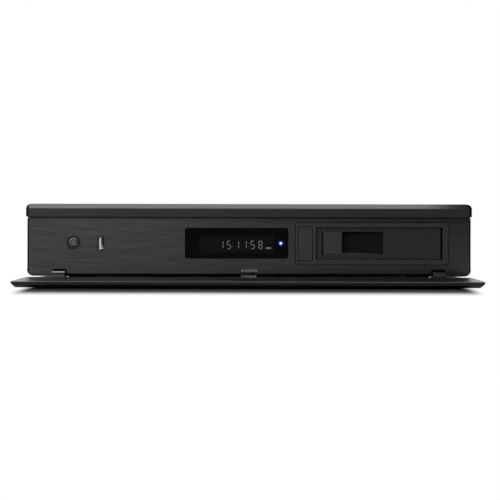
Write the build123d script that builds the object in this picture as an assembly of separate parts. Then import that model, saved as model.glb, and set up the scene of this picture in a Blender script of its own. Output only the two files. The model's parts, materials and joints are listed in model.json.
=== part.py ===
from build123d import *
import os

# Full-width media player with a drop-down front flap and a drive rack behind it.
# X runs to the right of the front, Y runs to the back and Z runs up. The origin is on the floor,
# under the middle of the whole object with its flap open. In this file y is measured from the
# front panel's face, and save() moves every piece into the frame of the origin.

# ---- overall sizes, millimetres ----
body_width = 430.0
body_depth = 280.0
foot_height = 9.0
body_height = 68.8
sheet = 1.2
slip = 0.3

# ---- front panel and top bar ----
panel_thick = 5.0
panel_height = 54.6
panel_corner = 5.0
panel_bevel = 1.3
bar_gap = 1.7
bar_height = 12.5
bar_proud = 6.0
bar_chamfer = 4.5
bar_corner = 5.0
bar_end_bevel = 2.4
seal_inset = 0.6
seal_set_back = 1.2

# ---- flap ----
flap_thick = 5.6
flap_height = 55.2
flap_corner = 1.5
flap_bevel = 2.4
flap_end_bevel = 4.4
axis_front = 0.5
axis_drop = 1.9
flap_gap = 2.1
arm_from_side = 31.65
arm_width = 12.1
arm_rise = 5.5
arm_reach = 7.1
lug_rise = 3.0
lug_thick = 1.5
notch_play = 0.5
pin_radius = 0.9
pin_fit = 0.05
knuckle_length = 11.2
knuckle_radius = 1.6
ear_radius = 1.7
ear_thick = 1.2
pin_end = 1.5
hinge_foot_length = 16.0
hinge_foot_thick = 1.1

# ---- display ----
window_to_rack = 6.65
window_width = 100.0
window_bottom = 25.0
window_height = 29.6
window_thick = 3.0
window_ledge = 4.0
display_thick = 6.0
board_thick = 1.6
led_from_right = 7.2
led_radius = 1.5
led_flange = 0.8
display_margin = 8.0
display_board_margin = 6.0

# ---- power button and front socket ----
power_from_side = 45.1
power_z = 40.1
power_cap_radius = 5.7
power_ring_radius = 6.9
power_travel = 1.5
power_stem = 5.0
power_stem_size = 3.6
switch_size = 6.0
switch_body = 3.2
switch_height = 3.9
switch_key_radius = 1.7
button_board_side = 14.0
button_board_end = 12.0
button_board_height = 34.0
post_inset = 3.5
post_radius = 3.0
button_play = 0.3
power_to_usb = 26.7
usb_z = 39.3
usb_width = 5.1
usb_height = 12.5
usb_wall = 0.4
usb_depth = 13.5
usb_set_back = 0.4
usb_tongue = 1.9
usb_tongue_height = 11.2
usb_tongue_side = 0.7
usb_tongue_inset = 2.0
usb_rim = 1.6

# ---- drive rack ----
rack_from_side = 21.35
rack_width = 149.0
rack_bottom = 18.95
rack_height = 41.3
rack_corner = 2.0
rack_play = 0.2
rack_bezel_depth = 9.0
rack_tail = 11.7
cage_wall = 1.0
cage_inset = 1.5
cage_drop = 0.4
bay_inset = 20.4
bay_width = 122.5
bay_rise = 5.3
bay_height = 31.1
eject_inset = 2.95
eject_width = 14.0
eject_height = 33.0
eject_travel = 2.5
eject_depth = 7.0
eject_foot = 6.0
eject_foot_inset = 3.0

# ---- lever ----
lever_inset = 0.95
lever_width = 119.4
lever_rise = 0.55
lever_height = 29.6
lever_thick = 11.0
lever_pivot_inset = 4.4
lever_slot_height = 13.0
lever_slot_length = 11.4
lever_skin = 1.5
grip_inset = 4.9
grip_width = 58.9
grip_rise = 4.4
grip_flat = 20.6
grip_height = 22.0
grip_depth = 9.2
grip_shallow = 2.6
paddle_width = 18.0
paddle_gap = 0.9
paddle_thick = 2.4
paddle_play = 0.35
paddle_pin_radius = 0.7
paddle_lip = 4.2
paddle_lip_thick = 1.6
lug_radius = 2.6
lever_pin_radius = 1.5

# ---- tray ----
drive_width = 101.6
drive_length = 147.0
drive_height = 26.1
drive_play = 1.2
tray_wall = 2.5
tray_floor = 2.0
tray_side_height = 19.0
tray_nose_gap = 0.5
tray_nose_thick = 3.4
rail_ledge = 4.0
rail_thick = 3.0
tray_rise = 6.4
socket_length = 44.0
socket_height = 6.5
socket_play = 0.6
socket_slot = 2.4

# ---- boards and power supply ----
standoff_height = 6.0
board_gap = 10.0
main_width = 140.0
main_length = 190.0
supply_from_side = 9.0
supply_width = 92.0
supply_length = 150.0
board_setback = 3.0
board_post_inset = 5.0
chip_size = 36.0
chip_height = 2.4
chip_from_back = 95.0
sink_size = 46.0
sink_base = 3.0
fin_thick = 1.4
fin_height = 15.0
fin_count = 9
core_width = 34.0
core_length = 30.0
core_height = 26.0
coil_width = 24.0
coil_length = 38.0
coil_height = 18.0
coil_rise = 4.0
core_from_back = 103.0
large_can_radius = 9.0
large_can_height = 30.0
small_can_radius = 5.0
can_sides = 12
small_can_height = 20.0
small_can_pitch = 14.0
large_can_from_back = 120.0
small_can_from_back = 60.0

# ---- back ----
jack_length = 9.0
jack_radius = 4.2
jack_bore = 1.6
jack_pitch = 14.0
jack_count = 3
jack_block_height = 18.0
socket_depth = 14.0
socket_proud = 0.6
inlet_width = 27.0
inlet_height = 19.5
inlet_depth = 18.0
inlet_flange = 3.0
inlet_flange_thick = 2.0
inlet_wall = 2.0
inlet_corner = 4.0
inlet_pin_spread = 7.0
inlet_pin_width = 2.0
inlet_pin_height = 4.0
inlet_pin_length = 12.0
rocker_width = 13.0
rocker_flange = 2.0
rocker_wall = 1.2
optical_size = 10.0
optical_hollow_width = 5.6
optical_hollow_height = 5.0
optical_hollow_depth = 6.0
video_width = 15.6
video_height = 6.2
video_hollow_width = 14.2
video_hollow_height = 4.6
video_depth = 9.0
video_tongue_width = 10.8
video_tongue_thick = 0.9
network_width = 16.4
network_height = 13.6
network_hollow_width = 12.0
network_hollow_height = 8.4
network_depth = 13.0
rear_usb_width = 14.4
rear_usb_height = 6.0
rear_usb_pitch = 8.4
rear_usb_rise = 0.6
rear_usb_wall = 0.5
screw_radius = 2.6
screw_head = 1.4
screw_inset = 20.0
screw_drop = 9.0
slot_width = 3.0
rocker_tilt = 8.0
foot_radius = 19.0
foot_sides = 24
foot_bevel = 1.5
foot_inset_x = 40.0
foot_inset_front = 48.0
foot_inset_back = 30.0
pad_radius = 14.0
pad_thick = 2.5

# ---- worked out ----
half_width = body_width / 2
arm_spread = half_width - arm_from_side
power_x = power_from_side - half_width
usb_x = power_x + power_to_usb
rack_left = half_width - rack_from_side - rack_width
window_left = rack_left - window_to_rack - window_width
bay_left = rack_left + bay_inset
bay_bottom = rack_bottom + bay_rise
eject_left = rack_left + eject_inset
lever_left = bay_left + lever_inset
lever_bottom = bay_bottom + lever_rise
grip_left = lever_left + grip_inset
grip_bottom = lever_bottom + grip_rise
supply_left = supply_from_side - half_width
main_left = supply_left + supply_width + board_gap
top_z = foot_height + body_height
panel_top = foot_height + panel_height
bar_bottom = panel_top + bar_gap
axis_z = foot_height - axis_drop
axis_y = -axis_front
flap_reach = axis_front + flap_gap + flap_height
front_y = (flap_reach - body_depth - jack_length) / 2
plate_y = panel_thick
inside_y = panel_thick + sheet
lever_mid_z = lever_bottom + lever_height / 2
pivot_x = lever_left + lever_width - lever_pivot_inset
pivot_y = lever_pivot_inset
tray_mid_x = lever_left + lever_width / 2
tray_bottom = rack_bottom + tray_rise
nose_y = lever_thick + tray_nose_gap
drive_y = nose_y + tray_nose_thick + drive_play
tray_end = drive_y + drive_length + drive_play
rack_depth = tray_end + rack_tail
tray_half = drive_width / 2 + drive_play + tray_wall
cage_floor = rack_bottom + cage_drop + cage_wall
cage_height = rack_height - 2 * cage_drop - 2 * cage_wall
board_z = foot_height + sheet + standoff_height
row_z = board_z + board_thick
back_y = body_depth - sheet
button_board_y = panel_thick + power_stem + power_travel + slip + switch_height


def save(name, shape):
    export_step(Pos(0, front_y, 0) * shape, "parts/" + name + ".step")


def rect(x0, width, z0, height, radius=0.0):
    middle = Pos(x0 + width / 2, z0 + height / 2)
    if radius > 0:
        return middle * RectangleRounded(width, height, radius)
    return middle * Rectangle(width, height)


def alongX(sketch, x0, length):
    return extrude(Plane.YZ.offset(x0) * sketch, amount=length)


def alongY(sketch, y0, length):
    return extrude(Plane.XZ.offset(-y0) * sketch, amount=-length)


def alongZ(sketch, z0, length):
    return extrude(Plane.XY.offset(z0) * sketch, amount=length)


def rodX(radius, x0, length, y, z):
    return alongX(Pos(y, z) * Circle(radius), x0, length)


def rodY(radius, y0, length, x, z):
    return alongY(Pos(x, z) * Circle(radius), y0, length)


def rodZ(radius, z0, length, x, y):
    return alongZ(Pos(x, y) * Circle(radius), z0, length)


def mirrored(shape):
    return shape + mirror(shape, about=Plane.YZ)


def slotShape(width, height):
    corners = Rectangle(width, height).vertices()
    return chamfer(corners, 0.3 * min(width, height))


def pattern(x, y, pitch_x, pitch_y, count_x, count_y, sketch):
    spots = GridLocations(pitch_x, pitch_y, count_x, count_y)
    return Sketch() + [Pos(x, y) * spot * sketch for spot in spots]


# ---- front panel, bar and the sheet behind them ----


def hingeNotches(depth):
    arm = rect(arm_spread - arm_width / 2 - notch_play, arm_width + 2 * notch_play, axis_z,
               arm_reach + notch_play)
    lugs = knuckle_length / 2 + slip + lug_thick + notch_play
    middle = rect(-lugs, 2 * lugs, axis_z, arm_reach + notch_play)
    return mirrored(alongY(arm, -1, depth + 2)) + alongY(middle, -1, depth + 2)


def windowOutline(grow):
    return rect(window_left - grow, window_width + 2 * grow, window_bottom - grow,
                window_height + 2 * grow, 1.0)


def windowBack():
    ledge = window_ledge
    return rect(window_left + ledge, window_width - 2 * ledge, window_bottom + ledge,
                window_height - 2 * ledge)


def rackOutline(grow):
    return rect(rack_left - grow, rack_width + 2 * grow, rack_bottom - grow, rack_height + 2 * grow,
                rack_corner)


def usbOutline(grow):
    width = usb_width + 2 * grow
    height = usb_height + 2 * grow
    return rect(usb_x - width / 2, width, usb_z - height / 2, height)


def frontPanel():
    outline = rect(-half_width, body_width, foot_height, panel_height)
    plate = alongY(outline, 0, panel_thick)
    low_corners = plate.edges().filter_by(Axis.Y).group_by(Axis.Z)[0]
    plate = fillet(low_corners, panel_corner)
    face_edges = plate.faces().sort_by(Axis.Y)[0].edges().sort_by(Axis.Z)[:-1]
    plate = chamfer(face_edges, panel_bevel)
    plate -= alongY(windowOutline(0.15), -1, window_thick + 1)
    plate -= alongY(windowBack(), -1, panel_thick + 2)
    plate -= alongY(rackOutline(rack_play), -1, panel_thick + 2)
    plate -= rodY(power_ring_radius + slip / 2, -1, panel_thick + 2, power_x, power_z)
    plate -= alongY(usbOutline(usb_rim + 0.15), -1, panel_thick + 2)
    return plate - hingeNotches(panel_thick)


def frontBar():
    side = Polyline(
        (-bar_proud, bar_bottom),
        (-bar_proud, top_z - bar_chamfer),
        (-bar_proud + bar_chamfer, top_z),
        (panel_thick, top_z),
        (panel_thick, bar_bottom),
        (-bar_proud, bar_bottom),
    )
    bar = alongX(make_face(side), -half_width, body_width)
    outline = rect(-half_width, body_width, bar_bottom - bar_corner, bar_height + bar_corner, bar_corner)
    bar &= alongY(outline, -bar_proud - 1, bar_proud + panel_thick + 2)
    ends = bar.faces().filter_by(Axis.Y).sort_by(Axis.Y)[0].edges().filter_by(Axis.Z)
    return chamfer(ends, bar_end_bevel)


def barSeal():
    width = body_width - 2 * seal_inset
    outline = rect(-width / 2, width, panel_top, bar_gap)
    return alongY(outline, seal_set_back, panel_thick - seal_set_back)


def chassisFront():
    outline = rect(-half_width + 2 * sheet + slip, body_width - 4 * sheet - 2 * slip, foot_height + sheet,
                   body_height - 3 * sheet)
    plate = alongY(outline, plate_y, sheet)
    plate -= alongY(windowBack(), plate_y - 1, sheet + 2)
    play = rack_play
    rack = rect(rack_left - play, rack_width + 2 * play, rack_bottom - play, rack_height + 2 * play)
    plate -= alongY(rack, plate_y - 1, sheet + 2)
    plate -= rodY(power_ring_radius + slip, plate_y - 1, sheet + 2, power_x, power_z)
    plate -= alongY(usbOutline(usb_rim), plate_y - 1, sheet + 2)
    return plate - hingeNotches(inside_y)


# ---- casing ----


def basePan():
    half = half_width - 2 * sheet
    length = body_depth - sheet - inside_y
    pan = alongY(rect(-half, 2 * half, foot_height, sheet), inside_y, length)
    wall = alongY(rect(half - sheet, sheet, foot_height, 3 * foot_height), inside_y, length)
    pan += mirrored(wall)
    vents = pattern(main_left + main_width / 2, body_depth * 0.55, 12.0, 34.0, 9, 2,
                    slotShape(slot_width, 26.0))
    return pan - alongZ(vents, foot_height - 1, sheet + 2)


def topCover():
    outer = rect(-half_width + sheet, body_width - 2 * sheet, foot_height, body_height - sheet)
    inner = rect(-half_width + 2 * sheet, body_width - 4 * sheet, foot_height - 1,
                 body_height - 2 * sheet + 1)
    start = panel_thick
    cover = alongY(outer - inner, start, body_depth - start)
    slots = pattern(main_left + main_width / 2, body_depth * 0.6, 9.0, 42.0, 14, 2,
                    slotShape(slot_width, 36.0))
    cover -= alongZ(slots, top_z - 3 * sheet, 4 * sheet)
    side_slots = pattern(body_depth * 0.55, top_z - 30, 10.0, 1.0, 9, 1, slotShape(slot_width, 30.0))
    return cover - alongX(side_slots, -half_width - 1, body_width + 2)


def rearPanel(cuts):
    half = half_width - 2 * sheet
    outline = rect(-half, 2 * half, foot_height, body_height - 2 * sheet)
    plate = alongY(outline, body_depth - sheet, sheet)
    return plate - cuts


# ---- flap with its hinges ----


def armProfile(rise):
    block = rect(axis_y - arm_reach, arm_reach + ear_radius, axis_z, rise)
    swing = Pos(axis_y, axis_z) * Circle(arm_reach)
    eye = Pos(axis_y, axis_z) * Circle(ear_radius)
    return (block & swing) + eye - Pos(axis_y, axis_z) * Circle(pin_radius + pin_fit)


def flapPanel():
    back = axis_y - flap_gap
    outline = rect(-half_width, body_width, back - flap_height, flap_height)
    plate = alongZ(outline, axis_z - flap_thick, flap_thick)
    front_corners = plate.edges().filter_by(Axis.Z).group_by(Axis.Y)[0]
    plate = chamfer(front_corners, flap_corner)
    under = plate.faces().sort_by(Axis.Z)[0].edges()
    plate = chamfer(under.filter_by(Axis.Y), flap_end_bevel)
    plate = chamfer(plate.faces().sort_by(Axis.Z)[0].edges().sort_by(Axis.Y)[0], flap_bevel)
    return plate - alongZ(flapWindowOutline(0.15), axis_z - flap_thick - 1, flap_thick + 2)


def flapWindowOutline(grow):
    low = window_bottom - axis_z
    return rect(window_left - grow, window_width + 2 * grow, axis_y - low - window_height - grow,
                window_height + 2 * grow, 1.0)


def flapWindow():
    return alongZ(flapWindowOutline(0), axis_z - flap_thick, flap_thick)


def hingeArms():
    return mirrored(alongX(armProfile(arm_rise), arm_spread - arm_width / 2, arm_width))


def hingeLugs():
    start = knuckle_length / 2 + slip
    return mirrored(alongX(armProfile(lug_rise), start, lug_thick))


def earStart():
    return arm_spread - arm_width / 2 - slip - ear_thick


def hingeEars():
    eye = Pos(axis_y, axis_z) * Circle(ear_radius)
    web = rect(axis_y, inside_y + hinge_foot_length - axis_y, axis_z - ear_radius, ear_radius + axis_drop)
    above = rect(axis_y - 9, 9 + inside_y, axis_z + ear_radius, 9)
    profile = eye + web - above - Pos(axis_y, axis_z) * Circle(pin_radius + pin_fit)
    ear = alongX(profile, earStart(), ear_thick)
    sole = rect(earStart(), 14.0, inside_y, hinge_foot_length)
    return mirrored(ear + alongZ(sole, foot_height - hinge_foot_thick, hinge_foot_thick))


def hingeKnuckle():
    barrel = Pos(axis_y, axis_z) * Circle(knuckle_radius)
    strip = rect(axis_y, inside_y + hinge_foot_length - axis_y, foot_height - hinge_foot_thick,
                 hinge_foot_thick)
    profile = barrel + strip - Pos(axis_y, axis_z) * Circle(pin_radius + pin_fit)
    return alongX(profile, -knuckle_length / 2, knuckle_length)


def hingePins():
    start = earStart() - pin_end
    length = pin_end + ear_thick + slip + arm_width - 1.0
    side = rodX(pin_radius, start, length, axis_y, axis_z)
    middle = knuckle_length / 2 + slip + lug_thick
    return mirrored(side) + rodX(pin_radius, -middle, 2 * middle, axis_y, axis_z)


# ---- display, power button and front socket ----


def displayWindow():
    return alongY(windowOutline(0), 0, window_thick)


def displayModule():
    lip = display_margin
    outline = rect(window_left + lip, window_width - 3 * lip, window_bottom + lip / 2, window_height - lip)
    return alongY(outline, inside_y, display_thick)


def displayBoard():
    grow = display_board_margin
    outline = rect(window_left - grow, window_width + 2 * grow, window_bottom - grow,
                   window_height + 2 * grow)
    return alongY(outline, inside_y + display_thick, board_thick)


def statusLed():
    x = window_left + window_width - led_from_right
    z = window_bottom + window_height / 2
    lens = rodY(led_radius, window_thick + slip, inside_y + display_thick - window_thick - slip, x, z)
    flange = Pos(x, z) * Rectangle(2 * led_radius + led_flange, 2 * led_radius + led_flange)
    return lens + alongY(flange, inside_y + display_thick - led_radius, led_radius)


def powerRing():
    ring = Circle(power_ring_radius) - Circle(power_cap_radius + button_play)
    return alongY(Pos(power_x, power_z) * ring, 0, inside_y)


def powerButton():
    cap = rodY(power_cap_radius, 0, panel_thick, power_x, power_z)
    cap = chamfer(cap.edges().sort_by(Axis.Y)[0], 0.6)
    stem = Pos(power_x, power_z) * Rectangle(power_stem_size, power_stem_size)
    return cap + alongY(stem, panel_thick, power_stem)


def buttonBoardWidth():
    return button_board_side + power_to_usb + button_board_end


def buttonBoard():
    outline = rect(power_x - button_board_side, buttonBoardWidth(), usb_z - button_board_height / 2,
                   button_board_height)
    return alongY(outline, button_board_y, board_thick)


def buttonPosts():
    width = buttonBoardWidth()
    middle = power_x - button_board_side + width / 2
    pitch_z = button_board_height - 2 * post_inset
    posts = pattern(middle, usb_z, width - 2 * post_inset, pitch_z, 2, 2, RegularPolygon(post_radius, 6))
    return alongY(posts, inside_y, button_board_y - inside_y)


def powerSwitch():
    outline = Pos(power_x, power_z) * Rectangle(switch_size, switch_size)
    body = alongY(outline, button_board_y - switch_body, switch_body)
    return body + rodY(switch_key_radius, button_board_y - switch_height, switch_height - switch_body,
                       power_x, power_z)


def usbBezel():
    return alongY(usbOutline(usb_rim) - usbOutline(usb_wall + 0.1), 0, inside_y)


def usbSocket():
    tube = alongY(usbOutline(usb_wall), usb_set_back, usb_depth)
    return tube - alongY(usbOutline(0), usb_set_back - 1, usb_depth + 1 - usb_wall)


def usbTongue():
    left = usb_x - usb_width / 2 + usb_tongue_side
    outline = rect(left, usb_tongue, usb_z - usb_tongue_height / 2, usb_tongue_height)
    return alongY(outline, usb_set_back + usb_tongue_inset, usb_depth - usb_wall - usb_tongue_inset)


# ---- drive rack ----


def bayOutline(grow):
    return rect(bay_left - grow, bay_width + 2 * grow, bay_bottom - grow, bay_height + 2 * grow)


def ejectOutline(grow):
    middle = rack_bottom + rack_height / 2
    return rect(eject_left - grow, eject_width + 2 * grow, middle - eject_height / 2 - grow,
                eject_height + 2 * grow)


def rackBezel():
    face = rackOutline(0) - bayOutline(0) - ejectOutline(button_play)
    return alongY(face, 0, rack_bezel_depth)


def rackCage():
    outer = rect(rack_left + cage_inset, rack_width - 2 * cage_inset, rack_bottom + cage_drop,
                 rack_height - 2 * cage_drop)
    inset = cage_inset + cage_wall
    inner = rect(rack_left + inset, rack_width - 2 * inset, cage_floor, cage_height)
    cage = alongY(outer - inner, rack_bezel_depth, rack_depth - rack_bezel_depth)
    holes = pattern(tray_mid_x, rack_depth * 0.5, 18.0, 1.0, 6, 1, slotShape(14.0, 2 * slot_width))
    return cage - alongZ(holes, cage_floor + cage_height / 2, rack_height)


def railSide():
    half = tray_half + slip
    wall = rect(tray_mid_x + half, rail_thick, cage_floor, cage_height)
    ledge = rect(tray_mid_x + half - rail_ledge, rail_ledge, cage_floor, tray_bottom - slip - cage_floor)
    start = nose_y + tray_nose_thick + slip
    return alongY(wall + ledge, start, rack_depth - board_thick - start)


def rackRails():
    rail = railSide()
    return rail + mirror(rail, about=Plane.YZ.offset(tray_mid_x))


def rackBackplane():
    inset = cage_inset + cage_wall
    outline = rect(rack_left + inset, rack_width - 2 * inset, cage_floor, cage_height)
    return alongY(outline, rack_depth - board_thick, board_thick)


def rackSocket():
    z0 = tray_bottom + tray_floor + 1.0
    start = tray_end - drive_play + socket_play
    left = tray_mid_x - socket_slot
    body = alongY(rect(left, socket_length, z0, socket_height), start, rack_depth - board_thick - start)
    inner = rect(left + 2, socket_length - 4, z0 + (socket_height - socket_slot) / 2, socket_slot)
    return body - alongY(inner, start - 1, socket_height)


def ejectButton():
    cap = alongY(ejectOutline(0), 0, eject_depth)
    cap = chamfer(cap.faces().sort_by(Axis.Y)[0].edges(), 0.4)
    return cap + alongY(ejectOutline(-eject_foot_inset), eject_depth, eject_foot)


# ---- tray with its lever ----


def leverProfile():
    left = lever_left
    right = lever_left + lever_width
    inner = pivot_x - lever_slot_length + lever_pivot_inset
    edge = Polyline(
        (pivot_x, 2 * pivot_y),
        (inner, lever_thick),
        (left, lever_thick),
        (left, 0),
        (right, 0),
        (right, pivot_y),
    )
    corner = CenterArc((pivot_x, pivot_y), lever_pivot_inset, 0, 90)
    return make_face(edge + corner)


def gripHollow():
    left = grip_left
    right = grip_left + grip_width
    slope_start = grip_left + grip_flat
    floor_line = Polyline(
        (left, -1),
        (left, grip_depth),
        (slope_start, grip_depth),
        (right, grip_shallow),
        (right, -1),
        (left, -1),
    )
    return alongZ(make_face(floor_line), grip_bottom, grip_height)


def leverBody():
    body = alongZ(leverProfile(), lever_bottom, lever_height)
    slot_x = pivot_x + lever_pivot_inset - lever_slot_length
    slot = rect(slot_x, lever_slot_length + 1, lever_skin, lever_thick)
    body -= alongZ(slot, lever_mid_z - lever_slot_height / 2, lever_slot_height)
    body -= rodZ(lever_pin_radius + pin_fit, lever_bottom + 2, lever_height - 4, pivot_x, pivot_y)
    body -= gripHollow()
    pin_x, pin_y = paddleAxis()
    return body - rodZ(paddle_pin_radius + pin_fit, grip_bottom - 2, grip_height + 4, pin_x, pin_y)


def leverPin():
    end = 2 + slip
    return rodZ(lever_pin_radius, lever_bottom + end, lever_height - 2 * end, pivot_x, pivot_y)


def paddleAxis():
    return grip_left + paddle_gap + paddle_thick / 2, paddle_thick / 2


def latchPaddle():
    pin_x, pin_y = paddleAxis()
    plate = rect(pin_x, paddle_width - paddle_thick / 2, 0, paddle_thick)
    eye = Pos(pin_x, pin_y) * Circle(paddle_thick / 2)
    end = pin_x + paddle_width - paddle_thick / 2
    lip = rect(end - paddle_lip_thick, paddle_lip_thick, 0, paddle_lip)
    profile = plate + eye + lip - Pos(pin_x, pin_y) * Circle(paddle_pin_radius + pin_fit)
    return alongZ(profile, grip_bottom + paddle_play, grip_height - 2 * paddle_play)


def paddlePin():
    pin_x, pin_y = paddleAxis()
    return rodZ(paddle_pin_radius, grip_bottom - 1.6, grip_height + 3.2, pin_x, pin_y)


def trayFrame():
    half = tray_half
    start = nose_y + tray_nose_thick
    outer = rect(tray_mid_x - half, 2 * half, tray_bottom, tray_side_height)
    inner = rect(tray_mid_x - half + tray_wall, 2 * half - 2 * tray_wall, tray_bottom + tray_floor,
                 tray_side_height)
    frame = alongY(outer - inner, start, tray_end - start)
    middle_y = (start + tray_end) / 2
    windows = pattern(tray_mid_x, middle_y, 38.0, 56.0, 2, 2, slotShape(28.0, 40.0))
    frame -= alongZ(windows, tray_bottom - 1, tray_floor + 2)
    side_holes = pattern(middle_y, tray_bottom + 12, 30.0, 1.0, 4, 1, slotShape(16.0, 5.0))
    return frame - alongX(side_holes, tray_mid_x - half - 1, 2 * half + 2)


def trayNose():
    low = tray_bottom
    outline = rect(tray_mid_x - tray_half, 2 * tray_half, low, lever_bottom + lever_height - low)
    plate = alongY(outline, nose_y, tray_nose_thick)
    lug_half = lever_slot_height / 2 - slip
    reach = rect(pivot_x - lug_radius, 2 * lug_radius, pivot_y, nose_y - pivot_y)
    pivot = Pos(pivot_x, pivot_y)
    profile = reach + pivot * Circle(lug_radius) - pivot * Circle(lever_pin_radius + pin_fit)
    arm = rect(pivot_x - lug_radius, 2 * lug_radius, nose_y, tray_nose_thick)
    lug = alongZ(profile + arm, lever_mid_z - lug_half, 2 * lug_half)
    return plate + lug


# ---- boards and what stands on them ----


def boardPlate(x0, width, length):
    y0 = back_y - board_setback - length
    return alongZ(rect(x0, width, y0, length), board_z, board_thick)


def boardPosts():
    posts = Sketch()
    inset = 2 * board_post_inset
    for x0, width, length in boardList:
        y0 = back_y - board_setback - length
        hexagon = RegularPolygon(post_radius, 6)
        posts += pattern(x0 + width / 2, y0 + length / 2, width - inset, length - inset, 2, 2, hexagon)
    return alongZ(posts, foot_height + sheet, standoff_height)


boardList = [(main_left, main_width, main_length), (supply_left, supply_width, supply_length)]


def heatSink():
    x0 = main_left + (main_width - sink_size) / 2
    y0 = back_y - chip_from_back - sink_size / 2
    base_z = row_z + chip_height
    sink = alongZ(rect(x0, sink_size, y0, sink_size), base_z, sink_base)
    pitch = (sink_size - fin_thick) / (fin_count - 1)
    for fin in range(fin_count):
        sink += alongZ(rect(x0 + fin * pitch, fin_thick, y0, sink_size), base_z + sink_base, fin_height)
    return sink


def processorChip():
    x0 = main_left + (main_width - chip_size) / 2
    return alongZ(rect(x0, chip_size, back_y - chip_from_back - chip_size / 2, chip_size), row_z,
                  chip_height)


def transformer():
    middle = Pos(supply_left + supply_width * 0.7, back_y - core_from_back)
    core = alongZ(middle * Rectangle(core_width, core_length), row_z, core_height)
    coil = alongZ(middle * slotShape(coil_width, coil_length), row_z + coil_rise, coil_height)
    return core + coil


def capacitors():
    large = Pos(supply_left + supply_width * 0.22, back_y - large_can_from_back)
    cans = alongZ(large * RegularPolygon(large_can_radius, can_sides), row_z, large_can_height)
    for place in range(3):
        x = supply_left + supply_width * 0.45 + place * small_can_pitch
        small = Pos(x, back_y - small_can_from_back) * RegularPolygon(small_can_radius, can_sides)
        cans += alongZ(small, row_z, small_can_height)
    return cans


# ---- back sockets ----


def inletOutline(grow):
    left = supply_left + 16
    middle = Pos(left + inlet_width / 2, row_z + 2 + inlet_height / 2)
    outline = Rectangle(inlet_width + 2 * grow, inlet_height + 2 * grow)
    return middle * chamfer(outline.vertices().group_by(Axis.Y)[-1], inlet_corner)


def mainsInlet():
    body = alongY(inletOutline(0), back_y - inlet_depth, inlet_depth + sheet)
    body += alongY(inletOutline(inlet_flange), back_y + sheet, inlet_flange_thick)
    cavity = alongY(inletOutline(-inlet_wall), back_y - inlet_depth + 3, 2 * inlet_depth)
    return body - cavity


def inletPins():
    pins = Sketch()
    x = supply_left + 16 + inlet_width / 2 - inlet_pin_width / 2
    for side, z in [(-1, 7.2), (1, 7.2), (0, 12.6)]:
        pins += rect(x + side * inlet_pin_spread, inlet_pin_width, row_z + z, inlet_pin_height)
    return alongY(pins, back_y - inlet_depth + 3, inlet_pin_length)


def rockerOutline(grow):
    left = supply_left + 60
    return rect(left - grow, rocker_width + 2 * grow, row_z + 2 - grow, inlet_height + 2 * grow)


def rockerFrame():
    body = alongY(rockerOutline(0), back_y - socket_depth, socket_depth + sheet)
    body += alongY(rockerOutline(rocker_flange), back_y + sheet, inlet_flange_thick)
    return body - alongY(rockerOutline(-rocker_wall), back_y - socket_depth + 3, 2 * socket_depth)


def rockerAxis():
    return back_y - 1.5, row_z + 2 + inlet_height / 2


def rockerKey():
    y, z = rockerAxis()
    radius = 12.0
    width = rocker_width - 2 * rocker_wall - 2 * slip
    face = Pos(y - 6.4, z) * Circle(radius)
    keep = rect(y - 2.0, 9.0, z - 7.2, 14.4)
    profile = (face & keep) + Pos(y, z) * Circle(2.0) - Pos(y, z) * Circle(0.8 + pin_fit)
    tilted = Pos(y, z) * Rot(0, 0, rocker_tilt) * Pos(-y, -z) * profile
    return alongX(tilted, supply_left + 60 + (rocker_width - width) / 2, width)


def rockerPin():
    y, z = rockerAxis()
    width = rocker_width - 2 * rocker_wall
    return rodX(0.8, supply_left + 60 + rocker_wall, width, y, z)


def jackSpots():
    first = main_left + 8
    return [(first + place * jack_pitch, row_z + jack_block_height / 2) for place in range(jack_count)]


def jackOutline():
    return rect(main_left + 8 - jack_pitch / 2, jack_pitch * jack_count, row_z, jack_block_height)


def audioSockets():
    block = alongY(jackOutline(), back_y - socket_depth, socket_depth + sheet)
    for x, z in jackSpots():
        block += rodY(jack_radius, body_depth, jack_length, x, z)
    for x, z in jackSpots():
        block -= alongY(Pos(x, z) * RegularPolygon(jack_bore, 8), body_depth, jack_length + 1)
    return block


def opticalLeft():
    return main_left + 54


def videoLeft():
    return main_left + 72


def networkLeft():
    return main_left + 96


def rearUsbLeft():
    return main_left + 121


def socketBox(x0, width, height, depth, proud, hollow_width, hollow_height, hollow_depth):
    body = alongY(rect(x0, width, row_z, height), back_y - depth, depth + sheet + proud)
    hollow = rect(x0 + width / 2 - hollow_width / 2, hollow_width, row_z + height / 2 - hollow_height / 2,
                  hollow_height)
    return body - alongY(hollow, back_y + sheet + proud - hollow_depth, hollow_depth + 1)


def opticalSocket():
    return socketBox(opticalLeft(), optical_size, optical_size, socket_depth, socket_proud,
                     optical_hollow_width,
                     optical_hollow_height, optical_hollow_depth)


def videoSocket():
    return socketBox(videoLeft(), video_width, video_height, socket_depth, socket_proud, video_hollow_width,
                     video_hollow_height, video_depth)


def videoTongue():
    start = back_y + sheet + socket_proud - video_depth
    left = videoLeft() + (video_width - video_tongue_width) / 2
    return alongY(rect(left, video_tongue_width, row_z + 2.0, video_tongue_thick), start, video_depth - 2.0)


def networkSocket():
    return socketBox(networkLeft(), network_width, network_height, socket_depth + 2, socket_proud,
                     network_hollow_width, network_hollow_height, network_depth)


def rearUsb():
    pair = None
    wall = rear_usb_wall
    for level in range(2):
        z0 = row_z + rear_usb_rise + level * rear_usb_pitch
        outer = rect(rearUsbLeft(), rear_usb_width, z0, rear_usb_height)
        inner = rect(rearUsbLeft() + wall, rear_usb_width - 2 * wall, z0 + wall, rear_usb_height - 2 * wall)
        tube = alongY(outer, back_y - socket_depth, socket_depth + sheet + socket_proud)
        tube -= alongY(inner, back_y - socket_depth + 2, 2 * socket_depth)
        pair = tube if pair is None else pair + tube
    return pair


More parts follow.
